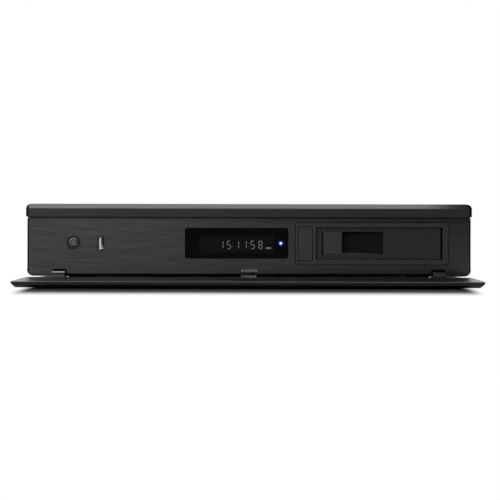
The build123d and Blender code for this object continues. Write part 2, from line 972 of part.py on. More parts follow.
def rearUsbTongues():
    tongues = Sketch()
    left = rearUsbLeft() + (rear_usb_width - usb_tongue_height) / 2
    for level in range(2):
        z0 = row_z + rear_usb_rise + level * rear_usb_pitch
        tongues += rect(left, usb_tongue_height, z0 + 2.9, usb_tongue)
    return alongY(tongues, back_y - socket_depth + 2, socket_depth - 3.5)


def backCuts():
    reach = 4 * sheet
    y0 = back_y - sheet
    cuts = alongY(inletOutline(0), y0, reach) + alongY(rockerOutline(0), y0, reach)
    cuts += alongY(jackOutline(), y0, reach)
    cuts += alongY(rect(opticalLeft(), optical_size, row_z, optical_size), y0, reach)
    cuts += alongY(rect(videoLeft(), video_width, row_z, video_height), y0, reach)
    cuts += alongY(rect(networkLeft(), network_width, row_z, network_height), y0, reach)
    usb_stack = rear_usb_pitch + rear_usb_height
    cuts += alongY(rect(rearUsbLeft(), rear_usb_width, row_z + rear_usb_rise, usb_stack), y0, reach)
    return cuts


# ---- feet and screws ----


def footSpots():
    x = half_width - foot_inset_x
    ys = [foot_inset_front, body_depth - foot_inset_back]
    return [(side * x, y) for side in (-1, 1) for y in ys]


def footShape():
    foot = alongZ(RegularPolygon(foot_radius, foot_sides), pad_thick, foot_height - pad_thick)
    return chamfer(foot.faces().sort_by(Axis.Z)[0].edges(), foot_bevel)


def group(shape, spots):
    pieces = None
    for x, y in spots:
        piece = Pos(x, y) * shape
        pieces = piece if pieces is None else pieces + piece
    return pieces


def coverScrews():
    heads = Sketch()
    for side in (-1, 0, 1):
        spot = Pos(side * (half_width - screw_inset), top_z - screw_drop)
        heads += spot * RegularPolygon(screw_radius, can_sides)
    return alongY(heads, body_depth, screw_head)


os.makedirs("parts", exist_ok=True)
save("front_panel", frontPanel())
save("front_bar", frontBar())
save("bar_seal", barSeal())
save("chassis_front", chassisFront())
save("base_pan", basePan())
save("top_cover", topCover())
save("rear_panel", rearPanel(backCuts()))
save("flap_panel", flapPanel())
save("flap_window", flapWindow())
save("hinge_arms", hingeArms())
save("hinge_lugs", hingeLugs())
save("hinge_ears", hingeEars())
save("hinge_knuckle", hingeKnuckle())
save("hinge_pins", hingePins())
save("display_window", displayWindow())
save("display_module", displayModule())
save("display_board", displayBoard())
save("status_led", statusLed())
save("power_ring", powerRing())
save("power_button", powerButton())
save("power_switch", powerSwitch())
save("button_board", buttonBoard())
save("button_posts", buttonPosts())
save("front_usb_bezel", usbBezel())
save("front_usb_socket", usbSocket())
save("front_usb_tongue", usbTongue())
save("rack_bezel", rackBezel())
save("rack_cage", rackCage())
save("rack_rails", rackRails())
save("rack_backplane", rackBackplane())
save("rack_socket", rackSocket())
save("eject_button", ejectButton())
save("tray_frame", trayFrame())
save("tray_nose", trayNose())
save("lever", leverBody())
save("lever_pin", leverPin())
save("latch_paddle", latchPaddle())
save("paddle_pin", paddlePin())
save("main_board", boardPlate(main_left, main_width, main_length))
save("supply_board", boardPlate(supply_left, supply_width, supply_length))
save("board_posts", boardPosts())
save("heat_sink", heatSink())
save("processor_chip", processorChip())
save("transformer", transformer())
save("capacitors", capacitors())
save("mains_inlet", mainsInlet())
save("inlet_pins", inletPins())
save("rocker_frame", rockerFrame())
save("rocker_key", rockerKey())
save("rocker_pin", rockerPin())
save("audio_sockets", audioSockets())
save("optical_socket", opticalSocket())
save("video_socket", videoSocket())
save("video_tongue", videoTongue())
save("network_socket", networkSocket())
save("rear_usb_sockets", rearUsb())
save("rear_usb_tongues", rearUsbTongues())
save("feet", group(footShape(), footSpots()))
save("foot_pads", group(alongZ(RegularPolygon(pad_radius, foot_sides), 0, pad_thick), footSpots()))
save("cover_screws", coverScrews())
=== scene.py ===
import json
import math

import bmesh
import bpy
import numpy as np
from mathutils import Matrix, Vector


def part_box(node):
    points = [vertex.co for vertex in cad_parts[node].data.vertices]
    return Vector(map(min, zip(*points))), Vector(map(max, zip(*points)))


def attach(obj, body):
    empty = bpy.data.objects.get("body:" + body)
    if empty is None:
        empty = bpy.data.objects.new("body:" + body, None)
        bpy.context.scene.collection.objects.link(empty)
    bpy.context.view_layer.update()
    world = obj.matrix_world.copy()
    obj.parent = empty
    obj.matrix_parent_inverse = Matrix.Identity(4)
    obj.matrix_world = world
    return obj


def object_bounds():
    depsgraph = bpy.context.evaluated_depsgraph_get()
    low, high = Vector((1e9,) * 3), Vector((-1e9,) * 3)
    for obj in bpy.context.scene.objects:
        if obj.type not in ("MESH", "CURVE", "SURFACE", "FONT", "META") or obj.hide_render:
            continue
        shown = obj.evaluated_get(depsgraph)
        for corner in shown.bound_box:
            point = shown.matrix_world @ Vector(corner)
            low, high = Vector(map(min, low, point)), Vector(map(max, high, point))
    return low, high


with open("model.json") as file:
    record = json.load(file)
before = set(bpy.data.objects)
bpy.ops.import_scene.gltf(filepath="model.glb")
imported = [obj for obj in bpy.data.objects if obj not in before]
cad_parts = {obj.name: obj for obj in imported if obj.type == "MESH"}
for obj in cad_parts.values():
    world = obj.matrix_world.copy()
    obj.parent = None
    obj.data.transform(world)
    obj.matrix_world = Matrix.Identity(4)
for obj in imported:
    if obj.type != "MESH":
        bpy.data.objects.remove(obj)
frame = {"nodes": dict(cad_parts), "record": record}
cadBox = [list(corner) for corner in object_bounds()]
print("frame loaded:", len(frame["nodes"]), "nodes")

mm = 0.001
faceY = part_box("front_panel")[0].y  # the panel's face
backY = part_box("rear_panel")[1].y  # the rear panel's outer face


class Wire:
    # One value in a node tree. Operators on it add Math nodes.

    def __init__(self, tree, socket):
        self.tree = tree
        self.socket = socket

    def join(self, operation, first, second=None, third=None):
        made = self.tree.nodes.new("ShaderNodeMath")
        made.operation = operation
        for place, value in zip(made.inputs, (first, second, third)):
            if isinstance(value, Wire):
                self.tree.links.new(value.socket, place)
            elif value is not None:
                place.default_value = value
        return Wire(self.tree, made.outputs[0])

    def __add__(self, other):
        return self.join("ADD", self, other)

    __radd__ = __add__

    def __sub__(self, other):
        return self.join("SUBTRACT", self, other)

    def __rsub__(self, other):
        return self.join("SUBTRACT", other, self)

    def __mul__(self, other):
        return self.join("MULTIPLY", self, other)

    __rmul__ = __mul__

    def __truediv__(self, other):
        return self.join("DIVIDE", self, other)

    def __rtruediv__(self, other):
        return self.join("DIVIDE", other, self)

    def __pow__(self, other):
        return self.join("POWER", self, other)

    def size(self):
        return self.join("ABSOLUTE", self)

    def larger(self, other):
        return self.join("MAXIMUM", self, other)

    def below(self, limit, soft):
        # 1 under the limit and 0 over it, with a soft edge of the given width.
        return self.join("MULTIPLY_ADD", self, -1 / soft, limit / soft + 0.5).held()

    def held(self):
        kept = self.join("ADD", self, 0.0)
        kept.socket.node.use_clamp = True
        return kept


class Finish:
    # A material made of one Principled shader, with its patterns in the piece's own coordinates.

    def __init__(self, name, **plain):
        self.material = bpy.data.materials.new(name)
        self.material.use_nodes = True
        self.tree = self.material.node_tree
        self.tree.nodes.clear()
        self.output = self.tree.nodes.new("ShaderNodeOutputMaterial")
        self.shader = self.tree.nodes.new("ShaderNodeBsdfPrincipled")
        self.tree.links.new(self.shader.outputs[0], self.output.inputs[0])
        self.where = self.node("ShaderNodeTexCoord", output="Object")
        for key, value in plain.items():
            self.put(key, value)

    def node(self, kind, settings=None, inputs=None, output=0):
        made = self.tree.nodes.new(kind)
        for key, value in (settings or {}).items():
            if key == "stops":
                self.setStops(made.color_ramp, value)
            else:
                setattr(made, key, value)
        for key, value in (inputs or {}).items():
            if isinstance(value, Wire):
                self.tree.links.new(value.socket, made.inputs[key])
            else:
                made.inputs[key].default_value = value
        return Wire(self.tree, made.outputs[output])

    def setStops(self, ramp, stops):
        while len(ramp.elements) > 1:
            ramp.elements.remove(ramp.elements[0])
        ramp.elements[0].position = stops[0][0]
        ramp.elements[0].color = (*stops[0][1], 1)
        for position, color in stops[1:]:
            ramp.elements.new(position).color = (*color, 1)

    def put(self, key, value):
        socket = self.shader.inputs[key.replace("_", " ")]
        if isinstance(value, Wire):
            self.tree.links.new(value.socket, socket)
        elif isinstance(value, (tuple, list)) and len(value) == 3 and socket.type == "RGBA":
            socket.default_value = (*value, 1)
        else:
            socket.default_value = value

    def axes(self):
        split = self.tree.nodes.new("ShaderNodeSeparateXYZ")
        self.tree.links.new(self.where.socket, split.inputs[0])
        return [Wire(self.tree, split.outputs[i]) for i in range(3)]

    def stretched(self, scale):
        return self.node("ShaderNodeVectorMath", {"operation": "MULTIPLY"}, {0: self.where, 1: scale})

    def noise(self, scale, detail=3.0, roughness=0.55):
        # Noise with its own scale on each axis, in cycles per metre.
        inputs = {"Vector": self.stretched(scale), "Scale": 1.0,
                  "Detail": detail, "Roughness": roughness}
        return self.node("ShaderNodeTexNoise", None, inputs)

    def mixed(self, factor, first, second):
        made = self.tree.nodes.new("ShaderNodeMix")
        made.data_type = "RGBA"
        values = (factor, first, second)
        for place, value in zip((made.inputs[0], made.inputs[6], made.inputs[7]), values):
            if isinstance(value, Wire):
                self.tree.links.new(value.socket, place)
            elif isinstance(value, (tuple, list)):
                place.default_value = (*value, 1)
            else:
                place.default_value = value
        return Wire(self.tree, made.outputs[2])

    def bump(self, height, strength, distance):
        inputs = {"Height": height, "Strength": strength, "Distance": distance}
        self.put("Normal", self.node("ShaderNodeBump", None, inputs))


def shade(color, factor):
    return tuple(min(1.0, channel * factor) for channel in color)


def lengthwise(along, long, short):
    # The scale of a pattern that runs along one axis: few cycles on it, many on the others.
    return tuple(long if axis == along else short for axis in "xyz")


def brushedMetal(name, color, roughness, along="x"):
    # Streaks: noise that is long along the brushing and short across it, over a broad slow mottle.
    brush = {"fine": (25.0, 2600.0), "coarse": (28.0, 620.0), "mottle": 14.0,
             "depth": 0.24, "gloss": 0.16, "grain": 0.00002}
    finish = Finish(name, Metallic=1.0)
    streak = finish.noise(lengthwise(along, *brush["fine"]), 2.0)
    band = finish.noise(lengthwise(along, *brush["coarse"]), 2.0, 0.7)
    mottle = finish.noise((brush["mottle"],) * 3, 2.0)
    mix = streak * 0.3 + band * 0.55 + mottle * 0.15
    dark, pale = shade(color, 1 - brush["depth"]), shade(color, 1 + brush["depth"])
    finish.put("Base Color", finish.mixed(mix, dark, pale))
    finish.put("Roughness", mix * brush["gloss"] + (roughness - brush["gloss"] / 2))
    finish.bump(streak + band * 0.5, 0.3, brush["grain"])
    return finish.material


def mouldedPlastic(name, color, roughness, grain=1400.0, coat=0.0, dull=0.5):
    # Fine spark-eroded grain: two noises, one of them coarse for uneven gloss.
    finish = Finish(name)
    fine = finish.noise((grain, grain, grain), 2.0)
    broad = finish.noise((35.0, 35.0, 35.0), 3.0)
    mix = broad * 0.6 + fine * 0.4
    finish.put("Base Color", finish.mixed(mix, shade(color, 0.8), shade(color, 1.2)))
    finish.put("Roughness", broad * 0.12 + fine * 0.08 + (roughness - 0.1))
    finish.put("Specular IOR Level", dull)
    if coat:
        finish.put("Coat Weight", coat)
        finish.put("Coat Roughness", 0.12)
    finish.bump(fine, 0.25, 0.00003)
    return finish.material


def texturedPaint(name, color, roughness):
    # Powder paint: small round bumps from a Voronoi field, over a slow change of gloss.
    finish = Finish(name)
    inputs = {"Vector": finish.stretched((900.0, 900.0, 900.0)), "Scale": 1.0}
    grains = finish.node("ShaderNodeTexVoronoi", {"feature": "SMOOTH_F1"}, inputs)
    broad = finish.noise((12.0, 12.0, 12.0), 3.0)
    mix = broad * 0.5 + grains * 0.5
    finish.put("Base Color", finish.mixed(mix, shade(color, 0.75), shade(color, 1.25)))
    finish.put("Roughness", broad * 0.1 + grains * 0.1 + (roughness - 0.1))
    finish.bump(grains, 0.5, 0.00006)
    return finish.material


def sheetSteel(name, color, roughness, metallic=1.0):
    # Plated sheet: spangle patches from a Voronoi colour, with light rolling lines.
    finish = Finish(name, Metallic=metallic)
    inputs = {"Vector": finish.stretched((90.0, 90.0, 90.0)), "Scale": 1.0}
    spangle = finish.node("ShaderNodeTexVoronoi", None, inputs)
    lines = finish.noise((400.0, 8.0, 400.0), 2.0)
    mix = spangle * 0.4 + lines * 0.6
    finish.put("Base Color", finish.mixed(mix, shade(color, 0.8), shade(color, 1.15)))
    finish.put("Roughness", mix * 0.15 + (roughness - 0.07))
    finish.bump(lines, 0.2, 0.00002)
    return finish.material


def smokedWindow():
    # Glossy smoked acrylic. The lit display's field shows as a slightly paler rectangle behind it,
    # and a halo round the lamp falls off with the distance from it.
    field = {"left": 14.0, "right": 13.8, "top": 7.2, "bottom": 5.4, "soft": 1.2, "rows": 260.0,
             "dark": (0.0012, 0.0012, 0.0014), "pale": (0.009, 0.0092, 0.0098)}
    glare = {"reach": 4.6, "fall": 2.4, "skin": 0.2, "color": (0.01, 0.06, 0.62)}
    low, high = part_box("display_window")
    finish = Finish("smokedWindow", Roughness=0.06, IOR=1.49)
    x, y, z = finish.axes()
    left = (low.x + field["left"] * mm) - x
    right = x - (high.x - field["right"] * mm)
    under = (low.z + field["bottom"] * mm) - z
    over = z - (high.z - field["top"] * mm)
    soft = field["soft"] * mm
    inside = left.below(0, soft) * right.below(0, soft) * under.below(0, soft) * over.below(0, soft)
    rows = finish.node("ShaderNodeTexWave", {"bands_direction": "Z"},
                       {"Vector": finish.where, "Scale": field["rows"], "Distortion": 0.0})
    dust = finish.noise((700.0, 700.0, 700.0), 2.0)
    glow = inside * (rows * 0.25 + 0.75)
    finish.put("Base Color", finish.mixed(glow, field["dark"], field["pale"]))
    finish.put("Roughness", dust * 0.05 + 0.04)
    ledX = high.x - led["fromRight"] * mm
    ledZ = (low.z + high.z) / 2
    gap = ((x - ledX) * (x - ledX) + (z - ledZ) * (z - ledZ)) ** 0.5
    halo = (1 - gap / (glare["reach"] * mm)).held() ** glare["fall"]
    skin = glare["skin"] * mm
    onFace = (y - (low.y + skin)).below(0, skin)
    finish.put("Emission Color", finish.mixed(halo * onFace, (0, 0, 0), glare["color"]))
    finish.put("Emission Strength", 1.0)
    return finish.material


def printedBoard(name, color, trace):
    # Solder mask: blocky tracks from a brick-like wave pair, faintly raised.
    finish = Finish(name, Roughness=0.4)
    tracks = finish.node("ShaderNodeTexWave", {"bands_direction": "DIAGONAL"},
                         {"Vector": finish.where, "Scale": 90.0, "Distortion": 9.0, "Detail": 1.0})
    cells = finish.node("ShaderNodeTexVoronoi", None,
                        {"Vector": finish.stretched((160.0, 160.0, 160.0)), "Scale": 1.0})
    mask = (tracks - 0.55).below(0, 0.1) * 0.5 + cells * 0.3
    finish.put("Base Color", finish.mixed(mask, trace, color))
    finish.put("Roughness", cells * 0.15 + 0.32)
    finish.bump(tracks, 0.2, 0.00004)
    return finish.material


def glowing(name, color, strength, core=(1.0, 1.0, 1.0)):
    # A lit lens: the colour whitens where a fine noise is high, so that it isn't dead flat.
    finish = Finish(name, Roughness=0.3)
    shimmer = finish.noise((900.0, 900.0, 900.0), 1.0)
    lit = finish.mixed(shimmer * 0.4, color, core)
    finish.put("Base Color", shade(color, 0.5))
    finish.put("Emission Color", lit)
    finish.put("Emission Strength", strength)
    return finish.material


led = {"fromRight": 7.2, "radius": 1.25, "proud": 0.08}
graphite = (0.105, 0.105, 0.107)


def panelMetal():
    # Horizontal brushing with long darker and paler lines; the rounded edge band takes a near-black
    # colour as painted shade.
    brush = {"low": 0.31, "high": 0.79, "rough": 0.3, "bevel": 1.9}
    finish = Finish("panelBrushed", Metallic=1.0)
    x = finish.axes()[0]
    hair = finish.noise(lengthwise("x", 30.0, 2600.0), 2.0)
    lines = finish.noise(lengthwise("x", 22.0, 700.0), 3.0, 0.7)
    mottle = finish.noise((12.0, 12.0, 12.0), 2.0)
    mix = hair * 0.25 + (lines * 2.0 - 0.5) * 0.6 + mottle * 0.15
    # painted shade: a near-black colour along the rounded edge, where it turns away from the light
    rim = 1 - (x.size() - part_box("front_panel")[1].x).below(-brush["bevel"] * mm, 0.3 * mm)
    face = finish.mixed(mix.held(), shade(graphite, brush["low"]), shade(graphite, brush["high"]))
    finish.put("Base Color", finish.mixed(rim, face, shade(graphite, 0.1)))
    finish.put("Roughness", mix * 0.1 + brush["rough"])
    finish.bump(hair + lines * 0.5, 0.3, 0.00002)
    return finish.material


def barMetal():
    # Brushed like the panel. The upper bevel and the top take a paler colour as a painted highlight,
    # and less roughness; the rounded ends take a near-black colour as painted shade.
    bright = {"start": 4.35, "soft": 0.15, "color": (0.085, 0.085, 0.086), "end": 3.2}
    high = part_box("front_bar")[1]
    finish = Finish("barBrushed", Metallic=1.0)
    x, _, z = finish.axes()
    streak = finish.noise(lengthwise("x", 25.0, 1600.0), 2.0)
    band = finish.noise(lengthwise("x", 20.0, 700.0), 2.0)
    mix = streak * 0.5 + band * 0.5
    plain = finish.mixed(mix, shade(graphite, 0.29), shade(graphite, 0.5))
    # painted highlight: a paler colour on the upper bevel and the top
    bevelHighlight = finish.mixed(mix, shade(bright["color"], 0.85), shade(bright["color"], 1.15))
    upper = 1 - z.below(high.z - bright["start"] * mm, bright["soft"] * mm)
    # painted shade: a near-black colour on the rounded ends
    endShade = 1 - (x.size() - high.x).below(-bright["end"] * mm, 0.2 * mm)
    finish.put("Base Color", finish.mixed(endShade, finish.mixed(upper, plain, bevelHighlight), shade(graphite, 0.08)))
    finish.put("Roughness", mix * 0.14 + 0.48 - upper * 0.36)
    finish.bump(streak, 0.25, 0.00001)
    return finish.material


def flapMetal():
    # Dark edges, and an outer face brushed like the panel. The inner face, which is on top when
    # the flap is open, is satin, with a matt band along the hinge, and a pale line at the front
    # that is a painted highlight.
    inner = {"color": (0.038, 0.038, 0.0385), "rough": 0.38, "skin": 0.25,
             "edge": 0.8, "highlightColor": (0.17, 0.17, 0.17), "band": 8.0, "bandColor": (0.06, 0.06, 0.06)}
    finish = Finish("flapSatin", Specular_IOR_Level=0.25)
    _, y, z = finish.axes()
    low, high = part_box("flap_panel")
    streak = finish.noise(lengthwise("x", 20.0, 900.0), 2.0)
    mottle = finish.noise((20.0, 20.0, 20.0), 2.0)
    mix = streak * 0.7 + mottle * 0.3
    outer = finish.mixed(mix, shade(graphite, 0.03), shade(graphite, 0.06))
    lines = finish.noise(lengthwise("x", 22.0, 700.0), 3.0, 0.7)
    under = z.below(low.z + inner["skin"] * mm, 0.1 * mm)
    brushed = finish.mixed(lines, shade(graphite, 0.31), shade(graphite, 0.79))
    outer = finish.mixed(under, outer, brushed)
    near = 1 - y.below(high.y - inner["band"] * mm, 1.5 * mm)
    face = finish.mixed(mix, shade(inner["color"], 0.85), shade(inner["color"], 1.15))
    top = 1 - z.below(high.z - 0.15 * mm, 0.1 * mm)
    # painted highlight: a pale line along the front edge of the inner face
    rim = (y - low.y).below(inner["edge"] * mm, 0.3 * mm) * (1 - z.below(high.z - 0.45 * mm, 0.2 * mm))
    face = finish.mixed(near, face, inner["bandColor"])
    base = finish.mixed(top, outer, face)
    finish.put("Metallic", (top * (1 - near)).larger(rim).larger(under))
    finish.put("Base Color", finish.mixed(rim, base, inner["highlightColor"]))
    finish.put("Roughness", top * (inner["rough"] - 0.22) + mix * 0.08 + 0.18)
    finish.bump(streak, 0.1, 0.000004)
    return finish.material


def armMetal():
    # Satin arms; the left one's top edge takes a paler colour as a painted highlight.
    edge = {"deep": 1.0, "bright": (0.34, 0.34, 0.34), "plain": (0.03, 0.03, 0.03)}
    finish = Finish("armSatin", Metallic=1.0)
    x, _, z = finish.axes()
    hair = finish.noise(lengthwise("x", 30.0, 1800.0), 2.0)
    top = 1 - z.below(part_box("hinge_arms")[1].z - edge["deep"] * mm, 0.3 * mm)
    left = x.below(0.0, 0.01)
    plain = finish.mixed(hair, shade(edge["plain"], 0.8), shade(edge["plain"], 1.3))
    # painted highlight on the top edge of the left arm only
    finish.put("Base Color", finish.mixed(top * left, plain, edge["bright"]))
    finish.put("Roughness", hair * 0.15 + 0.3)
    finish.bump(hair, 0.2, 0.00001)
    return finish.material


def panSteel():
    # Plated sheet whose front flange, behind the hinge notches, takes a near-black, non-metal colour
    # as painted shade, so that the notches look dark.
    flange = {"deep": 20.0, "soft": 1.0, "black": (0.005, 0.005, 0.0052), "zinc": (0.5, 0.5, 0.49)}
    finish = Finish("panSteel", Specular_IOR_Level=0.15)
    y = finish.axes()[1]
    inputs = {"Vector": finish.stretched((90.0, 90.0, 90.0)), "Scale": 1.0}
    spangle = finish.node("ShaderNodeTexVoronoi", None, inputs)
    zinc = finish.mixed(spangle, shade(flange["zinc"], 0.8), shade(flange["zinc"], 1.15))
    # painted shade: the front flange is near-black
    front = y.below(faceY + flange["deep"] * mm, flange["soft"] * mm)
    finish.put("Base Color", finish.mixed(front, zinc, flange["black"]))
    finish.put("Metallic", 1 - front)
    finish.put("Roughness", spangle * 0.1 + 0.3 + front * 0.35)
    finish.bump(spangle, 0.1, 0.00002)
    return finish.material


def leverPaint():
    # Graphite paint on the face; deeper than the face, inside the grip and behind, a near-black
    # colour as painted shade.
    paint, black = (0.036, 0.036, 0.0365), (0.004, 0.004, 0.004)
    depth = {"start": 0.7, "soft": 0.4}
    finish = Finish("leverPaint", Specular_IOR_Level=0.15)
    y = finish.axes()[1]
    fine = finish.noise((1400.0, 1400.0, 1400.0), 2.0)
    line = finish.noise(lengthwise("x", 28.0, 620.0), 2.0)
    painted = finish.mixed(fine * 0.4 + line * 0.6, shade(paint, 0.8), shade(paint, 1.2))
    # painted shade: a near-black colour for the inside of the grip, below the face
    bare = finish.mixed(fine, shade(black, 0.7), shade(black, 1.3))
    front = (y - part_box("lever")[0].y).below(depth["start"] * mm, depth["soft"] * mm)
    finish.put("Base Color", finish.mixed(front, bare, painted))
    finish.put("Roughness", fine * 0.1 + 0.66 - front * 0.3)
    finish.bump(fine, 0.25, 0.00003)
    return finish.material


finishes = {
    "panel_metal": panelMetal(),
    "bar_metal": barMetal(),
    "flap_metal": flapMetal(),
    "smoked_window": smokedWindow(),
    "display_glass": mouldedPlastic("displayGlass", (0.02, 0.02, 0.024), 0.15),
    "blue_led": glowing("blueLens", (0.05, 0.16, 1.0), 3.0),
    "ring_black": mouldedPlastic("ringBlack", (0.012, 0.012, 0.012), 0.35),
    "button_metal": brushedMetal("buttonBrushed", shade(graphite, 0.5), 0.3),
    "bezel_plastic": mouldedPlastic("bezelPaint", (0.023, 0.023, 0.0235), 0.42),
    "lever_plastic": leverPaint(),
    "paddle_plastic": mouldedPlastic("paddlePaint", (0.024, 0.024, 0.0245), 0.42),
    "part_black": mouldedPlastic("partBlack", (0.014, 0.014, 0.015), 0.45),
    "white_plastic": mouldedPlastic("whiteInsulator", (0.75, 0.75, 0.72), 0.4),
    "cover_paint": texturedPaint("coverPaint", (0.018, 0.018, 0.019), 0.5),
    "zinc_steel": sheetSteel("zincSteel", (0.5, 0.5, 0.49), 0.36),
    "bare_steel": sheetSteel("bareSteel", (0.62, 0.62, 0.62), 0.26),
    "dark_nickel": sheetSteel("darkNickel", (0.1, 0.1, 0.105), 0.3),
    "hinge_black": texturedPaint("hingeBlack", (0.012, 0.012, 0.012), 0.45),
    "board_green": printedBoard("boardGreen", (0.01, 0.075, 0.03), (0.02, 0.13, 0.05)),
    "board_tan": printedBoard("boardTan", (0.4, 0.26, 0.1), (0.5, 0.36, 0.17)),
    "brass_posts": sheetSteel("brassPosts", (0.75, 0.58, 0.25), 0.3),
    "sink_aluminium": brushedMetal("sinkAnodised", (0.06, 0.06, 0.065), 0.4, along="y"),
    "coil_yellow": mouldedPlastic("coilTape", (0.68, 0.5, 0.06), 0.4),
    "can_sleeve": mouldedPlastic("canSleeve", (0.02, 0.035, 0.1), 0.3, coat=0.4),
    "jack_plastic": mouldedPlastic("jackPlastic", (0.03, 0.03, 0.03), 0.35),
    "rocker_plastic": mouldedPlastic("rockerPlastic", (0.02, 0.02, 0.02), 0.28),
    "foot_plastic": mouldedPlastic("footPlastic", (0.02, 0.02, 0.02), 0.5),
    "pad_rubber": mouldedPlastic("padRubber", (0.03, 0.03, 0.03), 0.75, grain=900.0),
    "screw_black": sheetSteel("screwBlack", (0.03, 0.03, 0.03), 0.35),
}
ownFinish = {
    "flap_window": mouldedPlastic("flapGlass", (0.007, 0.007, 0.0075), 0.26, dull=0.16),
    "hinge_knuckle": sheetSteel("hingeSteel", (0.1, 0.1, 0.1), 0.4),
    "hinge_arms": armMetal(),
    "base_pan": panSteel(),
}
slotOf = {part["node"]: part["material_slot"] for part in frame["record"]["subparts"]}
for name, node in frame["nodes"].items():
    for place in node.material_slots:
        place.material = ownFinish.get(name, finishes[slotOf[name]])
print("finishes:", len(finishes))


def addPiece(name, points, faces, material, body, smooth=True):
    mesh = bpy.data.meshes.new(name)
    mesh.from_pydata(np.asarray(points, float).reshape(-1, 3).tolist(), [], faces)
    mesh.materials.append(material)
    mesh.update()
    if smooth:
        mesh.polygons.foreach_set("use_smooth", [True] * len(mesh.polygons))
    piece = bpy.data.objects.new(name, mesh)
    bpy.context.scene.collection.objects.link(piece)
    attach(piece, body)
    return piece


def gridFaces(rows, columns, offset=0):
    # Quads of a grid whose columns close round: row i, column j to the next of each.
    i, j = np.meshgrid(np.arange(rows - 1), np.arange(columns), indexing="ij")
    n, k = i + 1, (j + 1) % columns
    quads = np.stack([i * columns + j, i * columns + k, n * columns + k, n * columns + j], -1)
    return (quads.reshape(-1, 4) + offset).tolist()


def turnedPoints(profile, centre, sides):
    # A profile of (radius, height) pairs carried round an axis that faces the front:
    # x and z are the radius times the cosine and sine of the angle, and the height is to the front.
    profile = np.asarray(profile, float)
    angle = np.linspace(0, 2 * math.pi, sides, endpoint=False)
    ringA = profile[:, :1] * np.cos(angle)
    ringB = profile[:, :1] * np.sin(angle)
    height = np.repeat(profile[:, 1:], sides, 1)
    return np.stack((ringA, -height, ringB), -1).reshape(-1, 3) + np.asarray(centre, float)


def recalculate(piece):
    # Faces point outwards.
    work = bmesh.new()
    work.from_mesh(piece.data)
    bmesh.ops.recalc_face_normals(work, faces=work.faces)
    work.to_mesh(piece.data)
    work.free()


def turnedPiece(name, profile, centres, material, body, sides=32):
    # A solid turned from its profile, closed by a face at each end.
    points = []
    faces = []
    for centre in centres:
        offset = sum(len(p) for p in points)
        rows = len(profile)
        faces += gridFaces(rows, sides, offset)
        faces.append([offset + k for k in range(sides)][::-1])
        faces.append([offset + (rows - 1) * sides + k for k in range(sides)])
        points.append(turnedPoints(np.asarray(profile) * mm, centre, sides))
    return addPiece(name, np.concatenate(points), faces, material, body)


def ringPiece(name, profile, centres, material, body, sides=40):
    # A closed ring: the profile's last point joins its first, carried round the axis.
    points = []
    faces = []
    rows = len(profile)
    for centre in centres:
        offset = sum(len(p) for p in points)
        i, j = np.meshgrid(np.arange(rows), np.arange(sides), indexing="ij")
        n, k = (i + 1) % rows, (j + 1) % sides
        quads = np.stack([i * sides + j, i * sides + k, n * sides + k, n * sides + j], -1)
        faces += (quads.reshape(-1, 4) + offset).tolist()
        points.append(turnedPoints(np.asarray(profile) * mm, centre, sides))
    piece = addPiece(name, np.concatenate(points), faces, material, body, smooth=False)
    recalculate(piece)
    return piece


def plateFaces(start, count):
    # A closed plate whose outline of count corners stands twice, in front and behind: sides, then ends.
    k = np.arange(count)
    n = (k + 1) % count
    sides = start + np.stack([k, n, count + n, count + k], -1)
    return sides.tolist() + [(start + k).tolist(), (start + count + k[::-1]).tolist()]


def platePiece(name, outlines, front, thick, material, body):
    # Thin plates in the front plane: each outline is a closed loop of (x, z) in mm, given a thickness.
    points = []
    faces = []
    start = 0
    for outline in outlines:
        loop = np.asarray(outline, float) * mm
        count = len(loop)
        for depth in (front, front + thick):
            points.append(np.stack([loop[:, 0], np.full(count, depth), loop[:, 1]], -1))
        faces += plateFaces(start, count)
        start += 2 * count
    piece = addPiece(name, np.concatenate(points), faces, material, body, smooth=False)
    recalculate(piece)
    return piece


def barPiece(name, bars, front, thick, material, body, blunt=0.36):
    # Flat hexagonal bars in the front plane: each is (x, z, length, width, upright). Blunt is how far
    # from the middle the long sides reach, as a share of the length.
    shape = np.array([(-0.5, 0), (-blunt, 0.5), (blunt, 0.5), (0.5, 0), (blunt, -0.5), (-blunt, -0.5)])
    count = len(shape)
    points = []
    faces = []
    for x, z, length, width, upright in bars:
        across = shape * (length, width)
        if upright:
            across = across[:, ::-1]
        flat = np.concatenate([across, across]) + (x, z)
        depth = np.repeat([front, front + thick], count)
        faces += plateFaces(2 * count * len(points), count)
        points.append(np.stack([flat[:, 0], depth, flat[:, 1]], -1))
    piece = addPiece(name, np.concatenate(points), faces, material, body, smooth=False)
    recalculate(piece)
    return piece


# the display: a row of digits, two colons and a dash
display = {
    "reading": "151158",
    "places": (-26.7, -19.5, -11.6, -4.1, 3.6, 11.1),
    "colons": (-15.9, 0.1),
    "colonStep": 1.5,
    "middleZ": 38.3,
    "high": 7.2,
    "wide": 3.1,
    "stroke": 0.7,
    "notch": 0.4,
    "dot": (0.55, 0.45),
    "dash": (18.9, -3.1, 5.6, 1.5),
    "proud": 0.05,
    "thick": 0.04,
}
segmentsOf = {"0": "abcdef", "1": "bc", "2": "abged", "3": "abgcd", "4": "fgbc",
              "5": "afgcd", "6": "afgedc", "7": "abc", "8": "abcdefg", "9": "abcdfg"}


